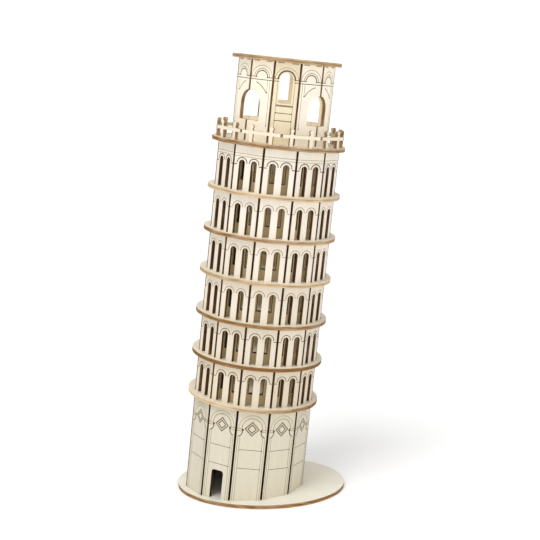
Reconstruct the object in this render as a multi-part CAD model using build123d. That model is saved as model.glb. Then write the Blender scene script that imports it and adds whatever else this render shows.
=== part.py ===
from build123d import *
import os
from math import cos, radians, sin, tan

# A slot-together plywood model of a leaning round bell tower.
#
# Frame: +Z is up, the origin is the centre of the base plate's underside, the tower leans
# towards +X and its doorway looks towards -Y and a little towards -X.
# The tower is drawn upright on its own axis and leaned as a whole at the end.
# An azimuth is counted in degrees about that axis, from 0 at the front (-Y) towards +X.
# All lengths are in millimetres.

# ---- driving dimensions ----
PLY = 2.5                  # every piece is cut from the same sheet
FIT = 0.05                 # room on each side of a tab in its slot

LEAN = 5.85                # lean of the axis from the vertical, degrees
SHAFT_TURN = 2.0           # the twelve-sided shaft stands turned by this about its axis
BELFRY_TURN = 0.9

BASE_LENGTH = 114.4
BASE_DEPTH = 96.4
FOOT_OFFSET = -12.0        # the axis meets the base plate's top this far along X

SHAFT_SIDES = 12
SHAFT_APOTHEM = 39.5       # axis to the outer face of a wall
SHAFT_WALL_WIDTH = 19.6
GALLERY_RADIUS = 44.0

GROUND_HEIGHT = 62.0       # along the axis, from the base plate to the first gallery
ARCADE_HEIGHT = 25.4
TOP_ARCADE_HEIGHT = 29.0
BELFRY_HEIGHT = 51.4
ARCADE_COUNT = 6           # arcades 2 to 7, the last one taller

ARCH_WIDTH = 4.25
ARCH_SPACING = 8.7         # between the two arches of one wall
ARCH_DROP = 5.7            # arch crown to the top of its wall
TOP_ARCH_DROP = 9.4

DOOR_WIDTH = 8.7
DOOR_HEIGHT = 17.8
DOOR_CORNER_RADIUS = 1.9
DOOR_INDEX = 11            # the wall one step to the left of the front one

CORE_SIDES = 6
CORE_APOTHEM = 31.0
CORE_WALL_WIDTH = 32.4
CORE_WINDOW_WIDTH = 9.2
CORE_SIDE_WINDOW_WIDTH = 7.6
CORE_SIDE_WINDOW_OFFSET = 11.2
CORE_SILL = 6.5
CORE_LINTEL = 2.0

BELFRY_APOTHEM = 31.3
BELFRY_WALL_WIDTH = 15.2
WINDOW_WIDTH = 8.1
WINDOW_SILL = 25.7
WINDOW_CROWN = 44.8
BELL_ARCH_RADIUS = 8.7
BELL_ARCH_SILL = 13.1
BELL_ARCH_CROWN = 32.3
ROOF_RADIUS = 35.8

RAIL_SIDES = 10
RAIL_APOTHEM = 41.5
RAIL_PIECE_WIDTH = 25.2
RAIL_BOTTOM = 5.2
RAIL_TOP = 7.3
POST_WIDTH = 2.2
POST_SHOULDER = 8.0
NECK_WIDTH = 1.3
FINIAL_RADIUS = 1.3
FINIAL_CENTRE = 9.7

TAB_WIDTH = 3.6
TAB_DEPTH = 1.2            # two tabs share one slot, one from below and one from above
BELFRY_TAB_WIDTH = 5.0
BELFRY_TAB_DEPTH = 2.4
GROUND_TAB_OFFSET = 7.0    # the ground walls stand on two tabs beside the doorway's place
CORE_TAB_OFFSET = 6.0      # over the mullions between the hidden windows
BELOW = 9.0                # how far a ground wall is drawn below the base before it is trimmed

# ---- places along the axis ----
ARCADE_HEIGHTS = [ARCADE_HEIGHT] * (ARCADE_COUNT - 1) + [TOP_ARCADE_HEIGHT]
FLOOR_LEVELS = [GROUND_HEIGHT]
for arcade_height in ARCADE_HEIGHTS:
    FLOOR_LEVELS.append(FLOOR_LEVELS[-1] + PLY + arcade_height)
BELFRY_LEVEL = FLOOR_LEVELS[-1] + PLY
ROOF_LEVEL = BELFRY_LEVEL + BELFRY_HEIGHT

SHAFT_STEP = 360 / SHAFT_SIDES
CORE_STEP = 360 / CORE_SIDES
RAIL_STEP = 360 / RAIL_SIDES
POST_OFFSET = RAIL_APOTHEM * tan(radians(RAIL_STEP / 4))

LEANING = Location((FOOT_OFFSET, 0, PLY), (0, LEAN, 0))
SHAFT = LEANING * Location((0, 0, 0), (0, 0, SHAFT_TURN))
BELFRY = LEANING * Location((0, 0, 0), (0, 0, BELFRY_TURN))


# ---- helpers ----
def wall_plane(azimuth, apothem, level):
    """The plane of a wall's outer face: x runs around the tower, y up, z outwards."""
    angle = radians(azimuth)
    outwards = Vector(sin(angle), -cos(angle), 0)
    around = Vector(cos(angle), sin(angle), 0)
    return Plane(origin=outwards * apothem + Vector(0, 0, level), x_dir=around, z_dir=outwards)


def cut_sheet(outline, azimuth, apothem, level):
    """One piece of sheet, cut to an outline and stood up with its outer face at the apothem."""
    return extrude(wall_plane(azimuth, apothem, level) * outline, -PLY)


def strip(centre, width, low, high):
    """An upright rectangle of a wall's outline."""
    return Pos(centre, (low + high) / 2) * Rectangle(width, high - low)


def arched_opening(centre, width, low, crown):
    """A round-headed opening of a wall's outline."""
    springing = crown - width / 2
    return strip(centre, width, low, springing) + Pos(centre, springing) * Circle(width / 2)


def slot_cutter(azimuth, apothem, offset, width, level):
    """A through slot in a level disc, for tabs of this width."""
    long_width = width + 2 * FIT
    around_face = wall_plane(azimuth, apothem + FIT, level - FIT)
    outline = strip(offset, long_width, 0, PLY + 2 * FIT)
    return extrude(around_face * outline, -(PLY + 2 * FIT))


def disc(radius, level):
    """A level round plate."""
    return extrude(Plane.XY.offset(level) * Circle(radius), PLY)


def world_slab(low, high):
    """Everything between two heights above the table."""
    size = 3 * BASE_LENGTH
    return Pos(0, 0, (low + high) / 2) * Box(size, size, high - low)


# ---- wall outlines, standing on the line y = 0 ----
def arcade_outline(height, drop):
    """Two round-headed arches, open down to the gallery, and a tab at each end."""
    outline = strip(0, SHAFT_WALL_WIDTH, 0, height)
    for side in (-1, 1):
        outline -= arched_opening(side * ARCH_SPACING / 2, ARCH_WIDTH, 0, height - drop)
    return outline + strip(0, TAB_WIDTH, -TAB_DEPTH, height + TAB_DEPTH)


def core_outline(height):
    """A hidden wall with three windows behind the arches, and two tabs at each end."""
    outline = strip(0, CORE_WALL_WIDTH, 0, height)
    outline -= strip(0, CORE_WINDOW_WIDTH, CORE_SILL, height - CORE_LINTEL)
    for side in (-1, 1):
        window = side * CORE_SIDE_WINDOW_OFFSET
        outline -= strip(window, CORE_SIDE_WINDOW_WIDTH, CORE_SILL, height - CORE_LINTEL)
        outline += strip(side * CORE_TAB_OFFSET, TAB_WIDTH, -TAB_DEPTH, height + TAB_DEPTH)
    return outline


def belfry_outline():
    """A belfry wall without its openings, with a tab into the roof and one into the floor."""
    outline = strip(0, BELFRY_WALL_WIDTH, 0, BELFRY_HEIGHT)
    tab_top = BELFRY_HEIGHT + BELFRY_TAB_DEPTH
    return outline + strip(0, BELFRY_TAB_WIDTH, -BELFRY_TAB_DEPTH, tab_top)


def belfry_window_outline():
    return belfry_outline() - arched_opening(0, WINDOW_WIDTH, WINDOW_SILL, WINDOW_CROWN)


def belfry_arch_outline(side):
    """Half of a bell arch, whose middle is the gap between this wall and the next."""
    gap_centre = side * BELFRY_APOTHEM * tan(radians(SHAFT_STEP / 2))
    return belfry_outline() - arched_opening(
        gap_centre, 2 * BELL_ARCH_RADIUS, BELL_ARCH_SILL, BELL_ARCH_CROWN)


def railing_outline():
    """One flat length of railing with two posts, their feet and their finials."""
    outline = strip(0, RAIL_PIECE_WIDTH, RAIL_BOTTOM, RAIL_TOP)
    for side in (-1, 1):
        post = side * POST_OFFSET
        outline += strip(post, POST_WIDTH, -TAB_DEPTH, POST_SHOULDER)
        outline += strip(post, NECK_WIDTH, POST_SHOULDER, FINIAL_CENTRE)
        outline += Pos(post, FINIAL_CENTRE) * Circle(FINIAL_RADIUS)
    return outline


# ---- pieces ----
def ground_wall(index):
    """A wall of the ground storey, trimmed by the level base plate that it leans out of."""
    azimuth = index * SHAFT_STEP
    outline = strip(0, SHAFT_WALL_WIDTH, -BELOW, GROUND_HEIGHT)
    if index == DOOR_INDEX:
        low = -BELOW - DOOR_CORNER_RADIUS
        door = strip(0, DOOR_WIDTH, low, DOOR_HEIGHT)
        outline -= fillet(door.vertices().group_by(Axis.Y)[-1], DOOR_CORNER_RADIUS)
    outline += strip(0, TAB_WIDTH, GROUND_HEIGHT - PLY, GROUND_HEIGHT + TAB_DEPTH)
    wall = SHAFT * cut_sheet(outline, azimuth, SHAFT_APOTHEM, 0)
    wall &= world_slab(PLY, 2 * ROOF_LEVEL)
    for side in (-1, 1):
        tab = strip(side * GROUND_TAB_OFFSET, TAB_WIDTH, -BELOW, BELOW)
        tab_piece = SHAFT * cut_sheet(tab, azimuth, SHAFT_APOTHEM, 0)
        wall += tab_piece & world_slab(FIT, PLY)
    return wall


def leaning_slot_cutter(azimuth, offset):
    """A slot in the base plate that follows a leaning tab."""
    tab = strip(offset, TAB_WIDTH + 2 * FIT, -BELOW, BELOW)
    face = wall_plane(azimuth, SHAFT_APOTHEM + FIT, 0)
    return SHAFT * extrude(face * tab, -(PLY + 2 * FIT))


def base_plate():
    """The oval foot, with slanted slots for the ground storey."""
    plate = extrude(Ellipse(BASE_LENGTH / 2, BASE_DEPTH / 2), PLY)
    for side in (-1, 1):
        for index in range(SHAFT_SIDES):
            plate -= leaning_slot_cutter(index * SHAFT_STEP, side * GROUND_TAB_OFFSET)
    return plate


def gallery_floor(level):
    """A round floor that stands out as a gallery, with the slots of the shaft walls."""
    floor = disc(GALLERY_RADIUS, level)
    for index in range(SHAFT_SIDES):
        floor -= slot_cutter(index * SHAFT_STEP, SHAFT_APOTHEM, 0, TAB_WIDTH, level)
    for index in range(CORE_SIDES):
        for side in (-1, 1):
            offset = side * CORE_TAB_OFFSET
            floor -= slot_cutter(index * CORE_STEP, CORE_APOTHEM, offset, TAB_WIDTH, level)
    return SHAFT * floor


def belfry_slot_cutter(index, level):
    """The slot of one belfry wall in its floor or in the roof."""
    return slot_cutter(index * SHAFT_STEP, BELFRY_APOTHEM, 0, BELFRY_TAB_WIDTH, level)


def belfry_floor():
    """The top gallery floor, which also carries the belfry and the railing."""
    level = FLOOR_LEVELS[-1]
    floor = gallery_floor(level)
    for index in range(SHAFT_SIDES):
        floor -= BELFRY * belfry_slot_cutter(index, level)
    for index in range(RAIL_SIDES):
        azimuth = (index + 0.5) * RAIL_STEP
        for side in (-1, 1):
            cutter = slot_cutter(azimuth, RAIL_APOTHEM, side * POST_OFFSET, POST_WIDTH, level)
            floor -= BELFRY * cutter
    return floor


def roof_disc():
    """The flat roof, with a slot for each belfry wall."""
    roof = disc(ROOF_RADIUS, ROOF_LEVEL)
    for index in range(SHAFT_SIDES):
        roof -= belfry_slot_cutter(index, ROOF_LEVEL)
    return BELFRY * roof


def ring_of_pieces(outline, count, apothem, level):
    """Equal separate pieces of sheet, spaced evenly around the shaft."""
    step = 360 / count
    pieces = [SHAFT * cut_sheet(outline, index * step, apothem, level) for index in range(count)]
    return Compound(children=pieces)


# ---- writing the pieces ----
os.makedirs("parts", exist_ok=True)


def write(shape, node):
    export_step(shape, f"parts/{node}.step")


write(base_plate(), "base_plate")

for wall_index in range(SHAFT_SIDES):
    wall_name = "ground_wall_door" if wall_index == DOOR_INDEX else f"ground_wall_{wall_index + 1:02d}"
    write(ground_wall(wall_index), wall_name)

for floor_index, floor_level in enumerate(FLOOR_LEVELS[:-1]):
    write(gallery_floor(floor_level), f"gallery_floor_{floor_index + 1}")
write(belfry_floor(), f"gallery_floor_{len(FLOOR_LEVELS)}")

for arcade_index, arcade_height in enumerate(ARCADE_HEIGHTS):
    floor_top = FLOOR_LEVELS[arcade_index] + PLY
    crown_drop = TOP_ARCH_DROP if arcade_index == ARCADE_COUNT - 1 else ARCH_DROP
    walls = arcade_outline(arcade_height, crown_drop)
    storey = arcade_index + 2
    write(ring_of_pieces(walls, SHAFT_SIDES, SHAFT_APOTHEM, floor_top), f"arcade_walls_{storey}")
    core = core_outline(arcade_height)
    write(ring_of_pieces(core, CORE_SIDES, CORE_APOTHEM, floor_top), f"core_walls_{storey}")

for wall_index in range(SHAFT_SIDES):
    wall_azimuth = wall_index * SHAFT_STEP
    quarter, place = divmod(wall_index, 3)
    if place == 0:
        wall_outline = belfry_window_outline()
        wall_name = f"belfry_window_wall_{quarter + 1}"
    else:
        wall_outline = belfry_arch_outline(1 if place == 1 else -1)
        wall_name = f"belfry_arch_wall_{2 * quarter + place}"
    wall_piece = cut_sheet(wall_outline, wall_azimuth, BELFRY_APOTHEM, BELFRY_LEVEL)
    write(BELFRY * wall_piece, wall_name)

for piece_index in range(RAIL_SIDES):
    piece_azimuth = (piece_index + 0.5) * RAIL_STEP
    railing_piece = cut_sheet(railing_outline(), piece_azimuth, RAIL_APOTHEM, BELFRY_LEVEL)
    write(BELFRY * railing_piece, f"railing_{piece_index + 1:02d}")

write(roof_disc(), "roof_disc")
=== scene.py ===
import math
import random

import bmesh
import bpy
from mathutils import Matrix, Vector


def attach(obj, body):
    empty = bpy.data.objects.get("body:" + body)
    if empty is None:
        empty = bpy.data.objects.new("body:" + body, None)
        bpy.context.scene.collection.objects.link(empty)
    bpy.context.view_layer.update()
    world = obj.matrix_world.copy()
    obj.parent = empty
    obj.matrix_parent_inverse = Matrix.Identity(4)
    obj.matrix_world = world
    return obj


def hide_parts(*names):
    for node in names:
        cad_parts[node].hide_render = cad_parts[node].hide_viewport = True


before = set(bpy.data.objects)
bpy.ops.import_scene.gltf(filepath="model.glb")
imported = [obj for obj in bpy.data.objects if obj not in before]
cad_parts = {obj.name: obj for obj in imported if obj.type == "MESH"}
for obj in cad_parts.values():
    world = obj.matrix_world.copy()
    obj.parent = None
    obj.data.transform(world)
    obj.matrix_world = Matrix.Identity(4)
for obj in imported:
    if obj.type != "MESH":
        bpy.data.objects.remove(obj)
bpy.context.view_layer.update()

# A plywood model of a leaning round bell tower, dressed over its CAD frame.
# Panel coordinates: x runs around the tower, y points inwards through the sheet, z runs up
# the tower's axis. Lengths named without a unit are in millimetres and MM turns them to metres.

MM = 0.001
PLY = 2.5
LEAN = 5.85
FOOT = (-12.0, 0.0, 2.5)
SHAFT_TURN = 2.0
BELFRY_TURN = 0.9
SHAFT_SIDES = 12
CORE_SIDES = 6
RAIL_SIDES = 10
SHAFT_STEP = 360 / SHAFT_SIDES
SHAFT_APOTHEM = 39.5
SHAFT_WALL_WIDTH = 19.6
ARCH_WIDTH = 4.25
ARCH_SPACING = 8.7         # between the two arches of one arcade wall
ARCH_DROP = 5.7            # arch crown to the top of its wall
TOP_ARCH_DROP = 9.4        # the same in the top arcade, whose walls are taller
CORE_STEP = 360 / CORE_SIDES
CORE_APOTHEM = 31.0
CORE_WINDOWS = [(-11.2, 7.6), (0.0, 9.2), (11.2, 7.6)]    # middle and width
CORE_SILL = 6.5
CORE_LINTEL = 2.0
BELFRY_APOTHEM = 31.3
BELFRY_WALL_WIDTH = 15.2
BELFRY_CORNICE = 276.2     # level of the lines that the belfry's blind arches stand on
BELL_ARCH_OFFSET = 8.39    # from the middle of a wall to the middle of its bell arch
BELL_ARCH_LEVEL = 259.4    # centre of the curved moulding outside the bell arch
RAIL_STEP = 360 / RAIL_SIDES
RAIL_APOTHEM = 41.5
FLOOR_LEVELS = [62.0, 89.9, 117.8, 145.7, 173.6, 201.5, 233.0]
BELFRY_LEVEL = 235.5
ROOF_LEVEL = 286.9

# the strength of an engraved line: the deeper ones are burnt dark, the others stay tan
BOLD = {"width": 0.58, "depth": 0.22}
FIRM = {"width": 0.44, "depth": 0.18}
SOFT = {"width": 0.42, "depth": 0.11}
FAINT = {"width": 0.30, "depth": 0.09}
DARK_DEPTH = 0.14
DOT_RADIUS = 0.42
DOT_DEPTH = 0.24
DEEPEST = 0.5              # no groove reaches this far into the sheet
CUTTER_RISE = 0.2          # a cutter stands this far out of the wall's face
SPECK = 1e-6               # metres; what is smaller is cleaned from a carved mesh
PAST_EDGE = 0.5            # an engraved line that meets the edge of its wall runs past it

JOIN_ANGLE = 0.4           # degrees; flatter joints between a CAD mesh's triangles are dissolved
SHARP_ANGLE = 20           # degrees; sharper corners of a cut edge aren't smoothed
FACE, EDGE, BURNT, TAN = range(4)    # the material slots of a wall; a disc has the first two

random.seed(11)


# ---- places ----
def standing(azimuth):
    """The place of a wall: azimuth is counted from the front (-Y) towards +X."""
    foot = Matrix.Translation(Vector(FOOT) * MM)
    lean = Matrix.Rotation(math.radians(LEAN), 4, "Y")
    return foot @ lean @ Matrix.Rotation(math.radians(azimuth), 4, "Z")


# ---- engraving ----
class Engraving:
    """The grooves of one wall, gathered as one cutter mesh for each line."""

    def __init__(self, apothem):
        self.face = -apothem
        self.cutters = []

    def add(self, bm, name):
        mesh = bpy.data.meshes.new(name)
        bmesh.ops.recalc_face_normals(bm, faces=bm.faces)
        bm.to_mesh(mesh)
        bm.free()
        self.cutters.append(bpy.data.objects.new(name, mesh))

    def path(self, points, width=FIRM["width"], depth=FIRM["depth"], closed=False):
        """A V-shaped groove along a path in the wall's face."""
        points = [Vector(p) for p in points]
        count = len(points)
        bm = bmesh.new()
        rings = []
        for i, point in enumerate(points):
            before = points[(i - 1) % count] if closed or i > 0 else None
            after = points[(i + 1) % count] if closed or i < count - 1 else None
            steps = []
            if before is not None:
                steps.append((point - before).normalized())
            if after is not None:
                steps.append((after - point).normalized())
            along = sum(steps, Vector((0.0, 0.0))).normalized()
            across = Vector((-along.y, along.x))
            stretch = 1 / max(0.3, along.dot(steps[0]))
            half = across * (width / 2 * (1 + CUTTER_RISE / depth) * stretch)
            ring = []
            corners = ((point + half, -CUTTER_RISE), (point - half, -CUTTER_RISE), (point, depth))
            for place, inwards in corners:
                ring.append(bm.verts.new((place.x * MM, (self.face + inwards) * MM, place.y * MM)))
            rings.append(ring)
        last = count if closed else count - 1
        for i in range(last):
            a = rings[i]
            b = rings[(i + 1) % count]
            for j in range(3):
                k = (j + 1) % 3
                bm.faces.new((a[j], a[k], b[k], b[j]))
        if not closed:
            bm.faces.new(rings[0])
            bm.faces.new(rings[-1])
        self.add(bm, "cut")

    def line(self, x0, z0, x1, z1, dots="", **size):
        """A straight groove; dots names the ends, a or b, that finish in a burnt dot."""
        self.path([(x0, z0), (x1, z1)], **size)
        if "a" in dots:
            self.dot(x0, z0)
        if "b" in dots:
            self.dot(x1, z1)

    def arc(self, x, z, radius, start=0.0, end=180.0, steps=24, rise=1.0, **size):
        """An arc of a circle, or of an ellipse with another rise, in degrees from +x to +z."""
        points = []
        for i in range(steps + 1):
            angle = math.radians(start + (end - start) * i / steps)
            points.append((x + radius * math.cos(angle), z + rise * radius * math.sin(angle)))
        self.path(points, **size)

    def diamond(self, x, z, half, **size):
        corners = [(x + half, z), (x, z + half), (x - half, z), (x, z - half)]
        self.path(corners, closed=True, **size)

    def dot(self, x, z, radius=DOT_RADIUS, depth=DOT_DEPTH):
        """The small pit where the laser starts or stops."""
        sides = 10
        floor_share = 0.6
        wide = radius * (1 + CUTTER_RISE / depth * (1 - floor_share))
        low = radius * floor_share
        bm = bmesh.new()
        top = []
        bottom = []
        for i in range(sides):
            angle = 2 * math.pi * i / sides
            dx = math.cos(angle)
            dz = math.sin(angle)
            mouth = (x + wide * dx, self.face - CUTTER_RISE, z + wide * dz)
            base = (x + low * dx, self.face + depth, z + low * dz)
            top.append(bm.verts.new([v * MM for v in mouth]))
            bottom.append(bm.verts.new([v * MM for v in base]))
        for i in range(sides):
            k = (i + 1) % sides
            bm.faces.new((top[i], top[k], bottom[k], bottom[i]))
        bm.faces.new(top)
        bm.faces.new(bottom)
        self.add(bm, "pit")

    def carve(self, obj):
        """Cuts every groove into the wall."""
        group = bpy.data.collections.new("cutters")
        bpy.context.scene.collection.children.link(group)
        for cutter in self.cutters:
            group.objects.link(cutter)
        boolean = obj.modifiers.new("engraving", "BOOLEAN")
        boolean.operation = "DIFFERENCE"
        boolean.solver = "EXACT"
        boolean.operand_type = "COLLECTION"
        boolean.collection = group
        bpy.context.view_layer.update()
        graph = bpy.context.evaluated_depsgraph_get()
        carved = bpy.data.meshes.new_from_object(obj.evaluated_get(graph))
        obj.modifiers.clear()
        bm = bmesh.new()
        bm.from_mesh(carved)
        bmesh.ops.remove_doubles(bm, verts=bm.verts, dist=SPECK)
        bmesh.ops.dissolve_degenerate(bm, edges=bm.edges, dist=SPECK)
        bm.to_mesh(carved)
        bm.free()
        obj.data = carved
        for cutter in self.cutters:
            bpy.data.objects.remove(cutter)
        bpy.data.collections.remove(group)


def engrave_ground():
    """A blind arch on capitals, three nested diamonds, and the lines of the stone courses."""
    cut = Engraving(SHAFT_APOTHEM)
    edge = SHAFT_WALL_WIDTH / 2 + PAST_EDGE
    springing = 50.0
    diamonds = 49.5
    inner_line = 7.5
    outer_line = 8.9
    shaft_top = 44.0
    shaft_foot = -8            # below the base, since the trimmed walls end at different heights
    bracket = 2.8
    bracket_height = 4.3
    cut.arc(0, springing, 8.8, start=-4, end=184, **FAINT)
    cut.arc(0, springing, 6.7, start=-6, end=186, **SOFT)
    cut.diamond(0, diamonds, 4.75, **FIRM)
    cut.diamond(0, diamonds, 4.05, **FAINT)
    cut.diamond(0, diamonds, 2.7, **BOLD)
    for side in (-1, 1):
        cut.line(side * 6.0, 49.3, side * edge, 49.3, **SOFT)
        cut.line(side * 6.3, 47.9, side * edge, 47.9, **SOFT)
        cut.dot(side * 6.1, 48.6, radius=0.75)
        start, end = (180, 270) if side > 0 else (270, 360)
        rise = bracket_height / bracket
        cut.arc(side * 8.8, 48.5, bracket, start=start, end=end, rise=rise, steps=12, **BOLD)
        for x in (side * inner_line, side * outer_line):
            cut.line(x, shaft_top, x, shaft_foot, **FAINT)
    for level in (35.0, 22.2):
        cut.line(-inner_line, level, inner_line, level, dots="b", width=0.32, depth=0.16)
    return cut


def engrave_arcade(floor, height, crown_drop, strength, frieze=()):
    """A moulding over each arch, short impost lines, and any frieze lines under the gallery."""
    cut = Engraving(SHAFT_APOTHEM)
    edge = SHAFT_WALL_WIDTH / 2 + PAST_EDGE
    springing = floor + height - crown_drop - ARCH_WIDTH / 2
    impost = springing - 1.0
    impost_end = 7.9
    for side in (-1, 1):
        cut.arc(side * ARCH_SPACING / 2, springing, 3.55, **strength)
        cut.line(side * edge, impost, side * impost_end, impost, **strength)
        cut.dot(side * impost_end, springing, radius=0.3)
    for drop in frieze:
        cut.line(-edge, floor + height - drop, edge, floor + height - drop, **FAINT)
    return cut


def engrave_core_rims_and_shade(floor, height):
    """Dark grooves round the hidden wall's windows: scorched rims, and painted shade at their sills and
    reveals.
    """
    cut = Engraving(CORE_APOTHEM)
    out = 0.25
    low = floor + CORE_SILL - out
    high = floor + height - CORE_LINTEL + out
    for middle, width in CORE_WINDOWS:
        half = width / 2 + out
        corners = [(middle - half, low), (middle + half, low), (middle + half, high), (middle - half, high)]
        # each rim is a dark groove: painted shade along the window's sill and reveals, as well as scorch
        cut.path(corners, closed=True, width=0.55, depth=0.2)
    return cut


def tab_marks(cut, level):
    """The scorched dashes where a wall's tabs meet the roof."""
    for side in (-1, 1):
        cut.line(side * 2.4, level, side * 6.6, level, width=0.62, depth=0.13)


def engrave_belfry_window():
    """Mouldings round the window, imposts, a frame below it and courses of stone."""
    cut = Engraving(BELFRY_APOTHEM)
    edge = BELFRY_WALL_WIDTH / 2 + PAST_EDGE
    springing = 276.25
    jamb = 5.4
    cut.arc(0, springing, 5.1)
    cut.arc(0, springing, 5.6)
    cut.arc(0, springing, 7.3, **FAINT)
    for side in (-1, 1):
        for level in (BELFRY_CORNICE, 274.7):
            cut.line(side * edge, level, side * jamb, level, dots="b")
        cut.line(side * jamb, 274.2, side * jamb, 245.6, dots="b", **FAINT)
    for level in (260.0, 259.4):
        cut.line(-jamb, level, jamb, level)
    for level in (255.0, 250.2):
        cut.line(-5.1, level, 5.1, level, dots="ab")
    tab_marks(cut, ROOF_LEVEL - 0.5)
    return cut


def engrave_belfry_arch(side):
    """A blind arch with its mouldings, and the sweep of the bell arch's outer moulding."""
    cut = Engraving(BELFRY_APOTHEM)
    edge = BELFRY_WALL_WIDTH / 2 + PAST_EDGE
    band = 274.6
    cut.arc(0, BELFRY_CORNICE, 4.1, **BOLD)
    cut.arc(0, BELFRY_CORNICE, 5.4, **SOFT)
    cut.arc(0, BELFRY_CORNICE, 7.4, **FAINT)
    for way in (-1, 1):
        cut.line(way * edge, BELFRY_CORNICE, way * 3.9, BELFRY_CORNICE, dots="b")
    cut.line(-edge, band, edge, band)
    # the sweep, from near the gap down to a dot beyond the middle of the wall
    gap = side * BELL_ARCH_OFFSET
    sweep = 14.3
    end_x = 4.4
    end_level = 266.8
    low = math.degrees(math.atan2(end_level - BELL_ARCH_LEVEL, end_x + BELL_ARCH_OFFSET))
    high = 71
    if side > 0:
        cut.arc(gap, BELL_ARCH_LEVEL, sweep, start=180 - high, end=180 - low)
    else:
        cut.arc(gap, BELL_ARCH_LEVEL, sweep, start=low, end=high)
    far = -side
    cut.dot(far * end_x, end_level)
    cut.line(far * end_x, band, far * end_x, end_level, **FAINT)
    cut.line(far * 6.1, band, far * 6.1, 246.0, dots="b", **FAINT)
    tab_marks(cut, ROOF_LEVEL - 0.5)
    return cut


# ---- materials ----
def grain_vector(tree, scale):
    """Object coordinates stood upright along the tower's axis and scaled for a grain."""
    nodes = tree.nodes
    coord = nodes.new("ShaderNodeTexCoord")
    turn = nodes.new("ShaderNodeVectorRotate")
    turn.rotation_type = "Y_AXIS"
    turn.inputs["Angle"].default_value = -math.radians(LEAN)
    tree.links.new(coord.outputs["Object"], turn.inputs["Vector"])
    mapping = nodes.new("ShaderNodeMapping")
    mapping.inputs["Scale"].default_value = scale
    tree.links.new(turn.outputs["Vector"], mapping.inputs["Vector"])
    return mapping.outputs["Vector"]


def noise(tree, vector, detail=3.0, roughness=0.6):
    node = tree.nodes.new("ShaderNodeTexNoise")
    node.inputs["Scale"].default_value = 1.0
    node.inputs["Detail"].default_value = detail
    node.inputs["Roughness"].default_value = roughness
    tree.links.new(vector, node.inputs["Vector"])
    return node.outputs["Fac"]


def ramp(tree, value, stops):
    """A colour ramp from (place, colour) pairs."""
    node = tree.nodes.new("ShaderNodeValToRGB")
    elements = node.color_ramp.elements
    while len(elements) < len(stops):
        elements.new(0.5)
    for element, (place, colour) in zip(elements, stops):
        element.position = place
        element.color = (*colour, 1.0)
    tree.links.new(value, node.inputs["Fac"])
    return node.outputs["Color"]


def blend(tree, kind, factor, a, b):
    """Mixes two colours; factor, a and b are sockets or values."""
    node = tree.nodes.new("ShaderNodeMix")
    node.data_type = "RGBA"
    node.blend_type = kind
    for name, value in (("Factor", factor), ("A", a), ("B", b)):
        kinds = "VALUE" if name == "Factor" else "RGBA"
        socket = next(s for s in node.inputs if s.name == name and s.type == kinds)
        if isinstance(value, bpy.types.NodeSocket):
            tree.links.new(value, socket)
        elif kinds == "RGBA":
            socket.default_value = (*value, 1.0)
        else:
            socket.default_value = value
    return next(s for s in node.outputs if s.type == "RGBA")


def attribute(tree, name, output="Fac"):
    node = tree.nodes.new("ShaderNodeAttribute")
    node.attribute_name = name
    return node.outputs[output]


def new_material(name, roughness):
    material = bpy.data.materials.new(name)
    material.use_nodes = True
    shader = material.node_tree.nodes["Principled BSDF"]
    shader.inputs["Roughness"].default_value = roughness
    shader.inputs["Specular IOR Level"].default_value = 0.25
    return material, material.node_tree, shader


def bump(tree, shader, height, strength, distance):
    node = tree.nodes.new("ShaderNodeBump")
    node.inputs["Strength"].default_value = strength
    node.inputs["Distance"].default_value = distance
    tree.links.new(height, node.inputs["Height"])
    tree.links.new(node.outputs["Normal"], shader.inputs["Normal"])


def face_material(name, scale):
    """The sanded face of the sheet: its own tint, with fine grain and broad soft figure."""
    material, tree, shader = new_material(name, 0.62)
    fine = noise(tree, grain_vector(tree, scale), detail=4.0)
    broad = noise(tree, grain_vector(tree, tuple(s * 0.16 for s in scale)), detail=2.0)
    grain = ramp(tree, fine, [(0.3, (0.965, 0.95, 0.92)), (0.62, (1.01, 1.01, 1.01))])
    figure = ramp(tree, broad, [(0.3, (0.985, 0.975, 0.95)), (0.7, (1.01, 1.01, 1.01))])
    colour = blend(tree, "MULTIPLY", 1.0, grain, figure)
    colour = blend(tree, "MULTIPLY", 1.0, attribute(tree, "tint", "Color"), colour)
    tree.links.new(colour, shader.inputs["Base Color"])
    bump(tree, shader, fine, 0.08, 0.00004)
    return material


# near-black char: scorch, and also painted shade in the gaps between walls
CHAR_AND_GAP_SHADE = (0.012, 0.006, 0.004)


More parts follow.
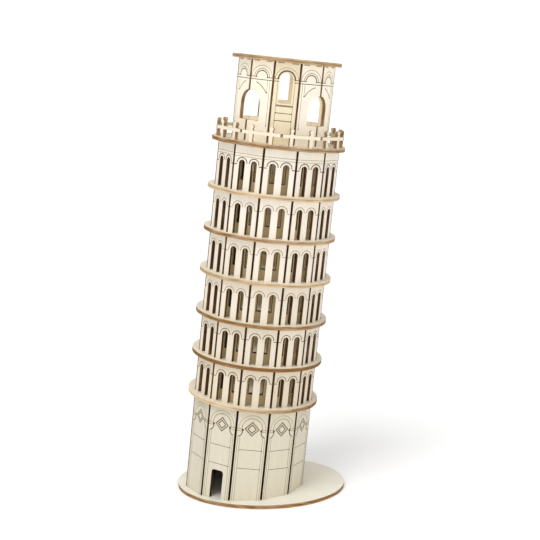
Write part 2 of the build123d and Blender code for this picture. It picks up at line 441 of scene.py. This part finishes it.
def edge_material(name, dark, light, scale):
    """A laser-cut edge: scorched more or less, with the sheet's three plies across it; its near-black char
    is partly painted shade in the gaps between walls.
    """
    material, tree, shader = new_material(name, 0.85)
    shader.inputs["Specular IOR Level"].default_value = 0.08
    spread = 1.3               # how unevenly the edge is burnt
    scorched = tuple(0.62 * c for c in dark)
    toned = (0.78 * light[0], 0.71 * light[1], 0.62 * light[2])
    bright = tuple(min(0.9, 1.12 * c) for c in light)
    deep = ramp(tree, attribute(tree, "ply"), [
        (0.0, scorched), (0.10, dark), (0.33, dark), (0.38, scorched),
        (0.60, scorched), (0.65, dark), (0.90, dark), (1.0, scorched)])
    slight = ramp(tree, attribute(tree, "ply"), [
        (0.0, toned), (0.10, light), (0.33, light), (0.38, toned),
        (0.60, toned), (0.65, light), (0.85, bright), (1.0, bright)])
    streaks = noise(tree, grain_vector(tree, scale), detail=3.0)
    uneven = tree.nodes.new("ShaderNodeMath")
    uneven.operation = "MULTIPLY_ADD"
    uneven.inputs[1].default_value = spread
    uneven.inputs[2].default_value = -spread / 2
    tree.links.new(streaks, uneven.inputs[0])
    burn = tree.nodes.new("ShaderNodeMath")
    burn.use_clamp = True
    tree.links.new(attribute(tree, "burn"), burn.inputs[0])
    tree.links.new(uneven.outputs["Value"], burn.inputs[1])
    # past a burn of 1 the edge is mixed towards char: scorch, and painted shade in the gaps between walls
    char_and_gap_shade = tree.nodes.new("ShaderNodeMath")
    char_and_gap_shade.operation = "SUBTRACT"
    char_and_gap_shade.use_clamp = True
    tree.links.new(attribute(tree, "burn"), char_and_gap_shade.inputs[0])
    char_and_gap_shade.inputs[1].default_value = 1.0
    colour = blend(tree, "MIX", burn.outputs["Value"], slight, deep)
    colour = blend(tree, "MIX", char_and_gap_shade.outputs["Value"], colour, CHAR_AND_GAP_SHADE)
    tree.links.new(colour, shader.inputs["Base Color"])
    bump(tree, shader, streaks, 0.2, 0.00005)
    return material


def engraved_material(name, dark, light):
    """The burnt floor of an engraved line."""
    material, tree, shader = new_material(name, 0.8)
    streaks = noise(tree, grain_vector(tree, (700, 700, 700)))
    colour = ramp(tree, streaks, [(0.3, dark), (0.7, light)])
    tree.links.new(colour, shader.inputs["Base Color"])
    return material


WALL_FACE = face_material("wall_face", (700, 700, 60))
FLAT_FACE = face_material("flat_face", (60, 700, 700))
WALL_EDGE = edge_material("wall_edge", (0.125, 0.058, 0.022), (0.70, 0.51, 0.30), (500, 500, 90))
FLAT_EDGE = edge_material("flat_edge", (0.27, 0.135, 0.045), (0.76, 0.605, 0.41), (90, 90, 900))
BURNT_LINE = engraved_material("burnt_line", (0.048, 0.030, 0.012), (0.10, 0.064, 0.027))
TAN_LINE = engraved_material("tan_line", (0.24, 0.165, 0.075), (0.36, 0.255, 0.13))


# the sheets differ a little in tone, and their edges in how far they are burnt; the storeys' tints, lighter
# towards the top, and the paler arch walls of the belfry also carry painted light
# the ground's tint and the storeys' after it grow lighter upwards: painted light, brighter towards the top,
# laid over each storey's own tone
GROUND_TINT = (0.62, 0.575, 0.465)
STOREY_TINTS_AND_RISING_LIGHT = [(0.68, 0.60, 0.475), (0.70, 0.63, 0.525), (0.74, 0.665, 0.56),
                (0.76, 0.695, 0.60), (0.775, 0.715, 0.63), (0.78, 0.72, 0.63)]
CORE_TINT = (0.72, 0.57, 0.33)
WINDOW_WALL_TINT = (0.74, 0.65, 0.475)
# the arch walls are paler than the window walls: partly their own cream tone, partly painted light on walls
# that sit in the roof's shade
ARCH_WALL_TINT_AND_PAINTED_LIGHT = (0.87, 0.80, 0.67)
RAILING_TINT = (0.76, 0.68, 0.54)
FLOOR_TINT = (0.74, 0.68, 0.56)
BASE_TINT = (0.72, 0.70, 0.61)
# how far the edges are burnt: 0 is pale, 1 is brown, and past 1 they char to near black, which is also
# painted shade in the dark gaps between walls
# the ground walls' edges char past 1: painted shade that darkens the gaps between them, on top of their
# scorch
GROUND_BURN_AND_GAP_SHADE = 1.6
ARCADE_BURN = 1.0
CORE_BURN = 1.5
BELFRY_BURN = 0.7
RAILING_BURN = 0.55
ROOF_BURN = 0.65
BASE_BURN = 0.9
# each gallery's burn at the front, and how much more towards the right
FLOOR_BURNS = [(0.5, 0.45), (1.05, 0.0), (0.85, -0.05), (0.45, -0.1),
               (0.7, -0.2), (0.35, 0.0), (0.8, -0.1)]


# ---- pieces ----
def clean_copy(node, local, keep=None):
    """A CAD node's mesh in panel coordinates, welded and with its triangles joined."""
    bm = bmesh.new()
    bm.from_mesh(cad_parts[node].data)
    bm.transform(local)
    if keep is not None:
        away = [f for f in bm.faces if not keep(f.calc_center_median())]
        bmesh.ops.delete(bm, geom=away, context="FACES")
    bmesh.ops.remove_doubles(bm, verts=bm.verts, dist=SPECK)
    angle = math.radians(JOIN_ANGLE)
    bmesh.ops.dissolve_limit(bm, angle_limit=angle, verts=bm.verts, edges=bm.edges)
    bmesh.ops.recalc_face_normals(bm, faces=bm.faces)
    mesh = bpy.data.meshes.new(node)
    bm.to_mesh(mesh)
    bm.free()
    return mesh


def number(mesh, name, values):
    layer = mesh.attributes.new(name, "FLOAT", "POINT")
    layer.data.foreach_set("value", values)


def dress_wall(mesh, apothem):
    """Gives a wall its face, edge and engraved materials, and its place across the sheet."""
    mesh.materials.clear()
    for material in (WALL_FACE, WALL_EDGE, BURNT_LINE, TAN_LINE):
        mesh.materials.append(material)
    front = -apothem * MM
    back = (-apothem + PLY) * MM
    tiny = 0.02 * MM
    for polygon in mesh.polygons:
        depths = [mesh.vertices[i].co.y for i in polygon.vertices]
        on_front = max(depths) < front + tiny
        on_back = min(depths) > back - tiny
        if on_front or on_back:
            polygon.material_index = FACE
        elif max(depths) < front + DEEPEST * MM:
            polygon.material_index = BURNT if max(depths) > front + DARK_DEPTH * MM else TAN
        else:
            polygon.material_index = EDGE
    number(mesh, "ply", [min(1.0, max(0.0, (v.co.y - front) / (back - front))) for v in mesh.vertices])


def dress_flat(mesh, level):
    """Gives a level disc its faces and its edge; slots count as edges too."""
    mesh.materials.clear()
    for material in (FLAT_FACE, FLAT_EDGE):
        mesh.materials.append(material)
    for polygon in mesh.polygons:
        polygon.material_index = FACE if abs(polygon.normal.z) > 0.9 else EDGE
    low = level * MM
    number(mesh, "ply", [(v.co.z - low) / (PLY * MM) for v in mesh.vertices])


def finish_mesh(mesh):
    """The cut edges are shaded smooth along their curves; the faces and grooves stay flat.

    The normals that came with the CAD mesh are dropped, since they no longer fit its faces.
    """
    imported = mesh.attributes.get("custom_normal")
    if imported is not None:
        mesh.attributes.remove(imported)
    mesh.polygons.foreach_set("use_smooth", [p.material_index == EDGE for p in mesh.polygons])
    mesh.set_sharp_from_angle(angle=math.radians(SHARP_ANGLE))


def add_piece(name, mesh, slot, *nodes):
    """A finished piece in the row frame, standing for these CAD nodes."""
    finish_mesh(mesh)
    piece = bpy.data.objects.new(name, mesh)
    bpy.context.scene.collection.objects.link(piece)
    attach(piece, "root")
    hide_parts(*nodes)
    return piece


def varied(tint):
    """A tint a little lighter or darker, warmer or cooler, as one offcut is from the next."""
    light = random.uniform(0.965, 1.03)
    warm = random.uniform(-0.02, 0.02)
    return (tint[0] * light, tint[1] * light * (1 - 0.4 * warm), tint[2] * light * (1 - warm))


def even(burn):
    """Cut edges scorched alike all over."""
    return lambda point: burn


def sided(burn, reveal, width):
    """The piece's own sides scorched one way and the edges of its opening another."""
    side = (width / 2 - 0.1) * MM
    return lambda point: burn if abs(point.x) > side else reveal


def drifting(burn, slope):
    """A disc's edge, burnt more towards the right, or less with a negative slope."""
    return lambda point: burn + slope * point.x / max(MM, math.hypot(point.x, point.y))


def joined(name, parts, burn):
    """One mesh from (mesh, matrix, tint) parts; burn gives a point's scorching, and past 1 its char, which
    is partly painted shade.
    """
    bm = bmesh.new()
    tints = []
    burns = []
    for mesh, place, tint in parts:
        burns += [burn(v.co) for v in mesh.vertices]
        part = mesh.copy()
        part.transform(place)
        before = len(bm.verts)
        bm.from_mesh(part)
        tints += [*tint, 1.0] * (len(bm.verts) - before)
        bpy.data.meshes.remove(part)
    result = bpy.data.meshes.new(name)
    bm.to_mesh(result)
    bm.free()
    for material in parts[0][0].materials:
        result.materials.append(material)
    layer = result.attributes.new("tint", "FLOAT_COLOR", "POINT")
    layer.data.foreach_set("color", tints)
    number(result, "burn", burns)
    return result


def carved_wall(mesh, engraving, apothem):
    holder = bpy.data.objects.new("carving", mesh)
    bpy.context.scene.collection.objects.link(holder)
    engraving.carve(holder)
    carved = holder.data
    bpy.data.objects.remove(holder)
    dress_wall(carved, apothem)
    return carved


def near_front(half_step):
    """Keeps what lies within half a step of the front, in panel coordinates."""
    limit = math.radians(half_step)
    return lambda centre: abs(math.atan2(centre.x, -centre.y)) < limit


def single(name, node, mesh, azimuth, slot, tint, burn):
    """One piece in its own node."""
    mesh = joined(name, [(mesh, standing(azimuth), varied(tint))], burn)
    return add_piece(name, mesh, slot, node)


# ground storey
for index in range(SHAFT_SIDES):
    azimuth = SHAFT_TURN + index * SHAFT_STEP
    node = "ground_wall_door" if index == SHAFT_SIDES - 1 else f"ground_wall_{index + 1:02d}"
    wall = clean_copy(node, standing(azimuth).inverted())
    wall = carved_wall(wall, engrave_ground(), SHAFT_APOTHEM)
    single(node + "_wood", node, wall, azimuth, "ground_plywood", GROUND_TINT, even(GROUND_BURN_AND_GAP_SHADE))

# arcades and the core walls behind them
for storey in range(2, 8):
    floor = FLOOR_LEVELS[storey - 2] + PLY
    height = FLOOR_LEVELS[storey - 1] - floor
    node = f"arcade_walls_{storey}"
    wall = clean_copy(node, standing(SHAFT_TURN).inverted(), keep=near_front(SHAFT_STEP / 2))
    top = storey == 7
    strength = BOLD if top else FIRM if storey < 4 else SOFT
    drop = TOP_ARCH_DROP if top else ARCH_DROP
    frieze = (5.5, 7.2) if top else ()
    cut = engrave_arcade(floor, height, drop, strength, frieze)
    wall = carved_wall(wall, cut, SHAFT_APOTHEM)
    parts = []
    for index in range(SHAFT_SIDES):
        parts.append((wall, standing(SHAFT_TURN + index * SHAFT_STEP), varied(STOREY_TINTS_AND_RISING_LIGHT[storey - 2])))
    add_piece(node + "_wood", joined(node, parts, even(ARCADE_BURN)), "arcade_plywood", node)

    node = f"core_walls_{storey}"
    wall = clean_copy(node, standing(SHAFT_TURN).inverted(), keep=near_front(CORE_STEP / 2))
    wall = carved_wall(wall, engrave_core_rims_and_shade(floor, height), CORE_APOTHEM)
    parts = []
    for index in range(CORE_SIDES):
        parts.append((wall, standing(SHAFT_TURN + index * CORE_STEP), varied(CORE_TINT)))
    add_piece(node + "_wood", joined(node, parts, even(CORE_BURN)), "core_plywood", node)

# belfry
for index in range(SHAFT_SIDES):
    azimuth = BELFRY_TURN + index * SHAFT_STEP
    quarter, place = divmod(index, 3)
    if place == 0:
        node = f"belfry_window_wall_{quarter + 1}"
        cut = engrave_belfry_window()
        tint = WINDOW_WALL_TINT
        burn = sided(BELFRY_BURN, 0.0, BELFRY_WALL_WIDTH)
    else:
        node = f"belfry_arch_wall_{2 * quarter + place}"
        cut = engrave_belfry_arch(1 if place == 1 else -1)
        tint = ARCH_WALL_TINT_AND_PAINTED_LIGHT
        burn = even(BELFRY_BURN)
    wall = carved_wall(clean_copy(node, standing(azimuth).inverted()), cut, BELFRY_APOTHEM)
    single(node + "_wood", node, wall, azimuth, "belfry_plywood", tint, burn)

# railing
for index in range(RAIL_SIDES):
    azimuth = BELFRY_TURN + (index + 0.5) * RAIL_STEP
    node = f"railing_{index + 1:02d}"
    wall = clean_copy(node, standing(azimuth).inverted())
    dress_wall(wall, RAIL_APOTHEM)
    single(node + "_wood", node, wall, azimuth, "railing_plywood", RAILING_TINT, even(RAILING_BURN))

# floors, roof and base
for index, level in enumerate(FLOOR_LEVELS):
    node = f"gallery_floor_{index + 1}"
    disc = clean_copy(node, standing(0).inverted())
    dress_flat(disc, level)
    burn = drifting(*FLOOR_BURNS[index])
    single(node + "_wood", node, disc, 0, "gallery_plywood", FLOOR_TINT, burn)
disc = clean_copy("roof_disc", standing(0).inverted())
dress_flat(disc, ROOF_LEVEL)
single("roof_disc_wood", "roof_disc", disc, 0, "roof_plywood", FLOOR_TINT, even(ROOF_BURN))
disc = clean_copy("base_plate", Matrix())
dress_flat(disc, 0.0)
plate = joined("base_plate_wood", [(disc, Matrix(), BASE_TINT)], even(BASE_BURN))
add_piece("base_plate_wood", plate, "base_plywood", "base_plate")


# ---- studio ----
def area_light(name, place, target, size, power):
    data = bpy.data.lights.new(name, "AREA")
    data.shape = "RECTANGLE"
    data.size, data.size_y = size
    data.energy = power
    light = bpy.data.objects.new(name, data)
    light.location = place
    light.rotation_euler = (Vector(target) - Vector(place)).to_track_quat("-Z", "Y").to_euler()
    bpy.context.scene.collection.objects.link(light)


def inner_light(level, power):
    """Daylight that has found its way into a storey's middle."""
    data = bpy.data.lights.new("inner", "POINT")
    data.energy = power
    data.shadow_soft_size = 0.01
    light = bpy.data.objects.new("inner", data)
    light.location = standing(0) @ Vector((0.0, 0.0, level * MM))
    light.visible_camera = False
    bpy.context.scene.collection.objects.link(light)


def sun_lamp(name, azimuth, elevation, strength, spread):
    """A broad soft light from that azimuth and height; spread is its size in degrees."""
    data = bpy.data.lights.new(name, "SUN")
    data.energy = strength
    data.angle = math.radians(spread)
    light = bpy.data.objects.new(name, data)
    side = math.radians(azimuth)
    up = math.radians(elevation)
    towards = Vector((math.sin(side) * math.cos(up), -math.cos(side) * math.cos(up), math.sin(up)))
    light.rotation_euler = towards.to_track_quat("Z", "Y").to_euler()
    bpy.context.scene.collection.objects.link(light)


def white_sweep():
    """A plain floor that curves up into a backdrop."""
    width = 9.0
    front = -9.0
    turn = 2.0
    radius = 1.2
    height = 4.0
    profile = [(front, 0.0), (turn, 0.0)]
    for i in range(1, 13):
        angle = math.pi / 2 * i / 12
        profile.append((turn + radius * math.sin(angle), radius * (1 - math.cos(angle))))
    profile.append((turn + radius, height))
    bm = bmesh.new()
    rows = []
    for y, z in profile:
        rows.append([bm.verts.new((x, y, z)) for x in (-width, width)])
    for a, b in zip(rows, rows[1:]):
        bm.faces.new((a[0], a[1], b[1], b[0]))
    mesh = bpy.data.meshes.new("sweep")
    bm.to_mesh(mesh)
    bm.free()
    mesh.polygons.foreach_set("use_smooth", [True] * len(mesh.polygons))
    material, tree, shader = new_material("paper", 0.95)
    shader.inputs["Base Color"].default_value = (0.90, 0.90, 0.90, 1.0)
    mesh.materials.append(material)
    floor = bpy.data.objects.new("floor", mesh)
    bpy.context.scene.collection.objects.link(floor)


STOREY_LIGHT_RISE = 14.0
STOREY_LIGHT_POWER = 0.003
BELFRY_LIGHT_RISE = 25.0
BELFRY_LIGHT_POWER = 0.012
WORLD_STRENGTH = 0.78
LENS = 80.9                # with a sensor 36 mm wide
CAMERA_PLACE = (0.00432, -0.8014, 0.2952)
CAMERA_DOWN = 10.25        # degrees below the horizon
CAMERA_TURN = -0.13        # degrees to the left of straight ahead, negative is to the right

white_sweep()
sun_lamp("key", azimuth=-35, elevation=60, strength=1.35, spread=30)
area_light("front", (0.30, -0.85, 0.36), (0.0, 0.0, 0.20), (1.1, 0.5), 2.05)

for level in FLOOR_LEVELS[:-1]:
    inner_light(level + STOREY_LIGHT_RISE, STOREY_LIGHT_POWER)
inner_light(BELFRY_LEVEL + BELFRY_LIGHT_RISE, BELFRY_LIGHT_POWER)

world = bpy.data.worlds.new("studio")
world.use_nodes = True
world.node_tree.nodes["Background"].inputs["Color"].default_value = (1.0, 1.0, 1.0, 1.0)
world.node_tree.nodes["Background"].inputs["Strength"].default_value = WORLD_STRENGTH
bpy.context.scene.world = world
bpy.context.scene.view_settings.view_transform = "Standard"

lens = bpy.data.cameras.new("camera")
lens.lens = LENS
lens.sensor_width = 36.0
camera = bpy.data.objects.new("camera", lens)
camera.location = CAMERA_PLACE
camera.rotation_euler = (math.radians(90 - CAMERA_DOWN), 0.0, math.radians(CAMERA_TURN))
bpy.context.scene.collection.objects.link(camera)
bpy.context.scene.camera = camera
